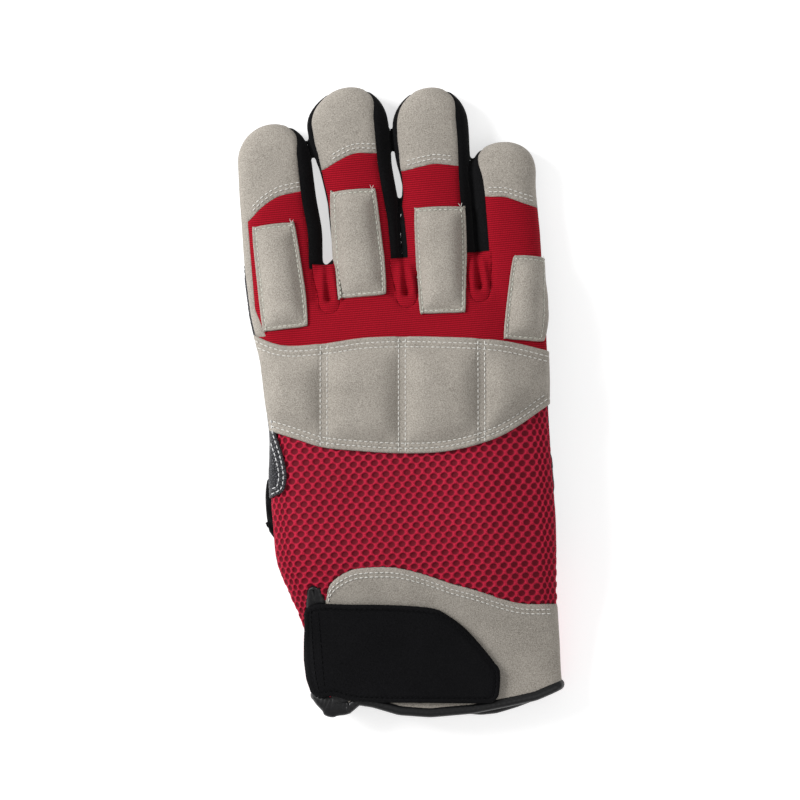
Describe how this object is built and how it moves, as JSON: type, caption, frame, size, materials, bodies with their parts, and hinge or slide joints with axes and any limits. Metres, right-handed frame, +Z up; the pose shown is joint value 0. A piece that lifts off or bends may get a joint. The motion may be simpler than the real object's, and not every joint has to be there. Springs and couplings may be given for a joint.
{
  "type": "gardening glove",
  "caption": "Right-hand gardening glove of red knit, air mesh and grey suede with padded knuckles, lying back up.",
  "frame": {"origin": "middle of the base of the lying glove, on the surface that it rests on", "axes": "+Y towards the fingertips, +Z up out of the back of the hand, -X towards the thumb side"},
  "size_m": [0.1236, 0.2548, 0.038],
  "materials": {
    "grey_suede": "brushed synthetic suede, light warm grey",
    "red_knit": "fine horizontal ribbed stretch knit",
    "red_mesh": "air mesh with staggered round holes over a dark red ground",
    "black_fleece": "matte brushed stretch cloth",
    "black_suede": "matte synthetic suede",
    "grained_leather": "pebbled synthetic leather with a soft sheen",
    "strap_loop": "matte hook-and-loop tape",
    "glossy_binding": "smooth folded edge tape with a soft gloss",
    "thread": "off-white sewing thread"
  },
  "bodies": {
    "root": {"index_back_cap": "grey_suede", "middle_back_cap": "grey_suede", "ring_back_cap": "grey_suede", "little_back_cap": "grey_suede", "index_pad": "grey_suede", "middle_pad": "grey_suede", "ring_pad": "grey_suede", "little_pad": "grey_suede", "knuckle_band": "grey_suede", "wrist_panel": "grey_suede", "thumb_back_cap": "grey_suede", "back_knit": "red_knit", "index_middle_gusset": "red_knit", "middle_ring_gusset": "red_knit", "ring_little_gusset": "red_knit", "back_mesh": "red_mesh", "thumb_side_cuff": "red_mesh", "little_side_cuff": "red_mesh", "index_inner_side": "black_fleece", "middle_index_side": "black_fleece", "middle_ring_side": "black_fleece", "ring_middle_side": "black_fleece", "ring_little_side": "black_fleece", "little_ring_side": "black_fleece", "thumb": "black_fleece", "palm": "black_suede", "index_palm_cap": "grained_leather", "middle_palm_cap": "grained_leather", "ring_palm_cap": "grained_leather", "little_palm_cap": "grained_leather", "scalloped_patch": "grained_leather", "heel_patch": "grained_leather", "thumb_base_patch": "grained_leather", "index_side_patch": "grained_leather", "thumb_crotch_patch": "grained_leather", "thumb_front_cap": "grained_leather", "wrist_strap": "strap_loop", "hem_binding": "glossy_binding", "slit_binding": "glossy_binding"}
  },
  "joints": []
}
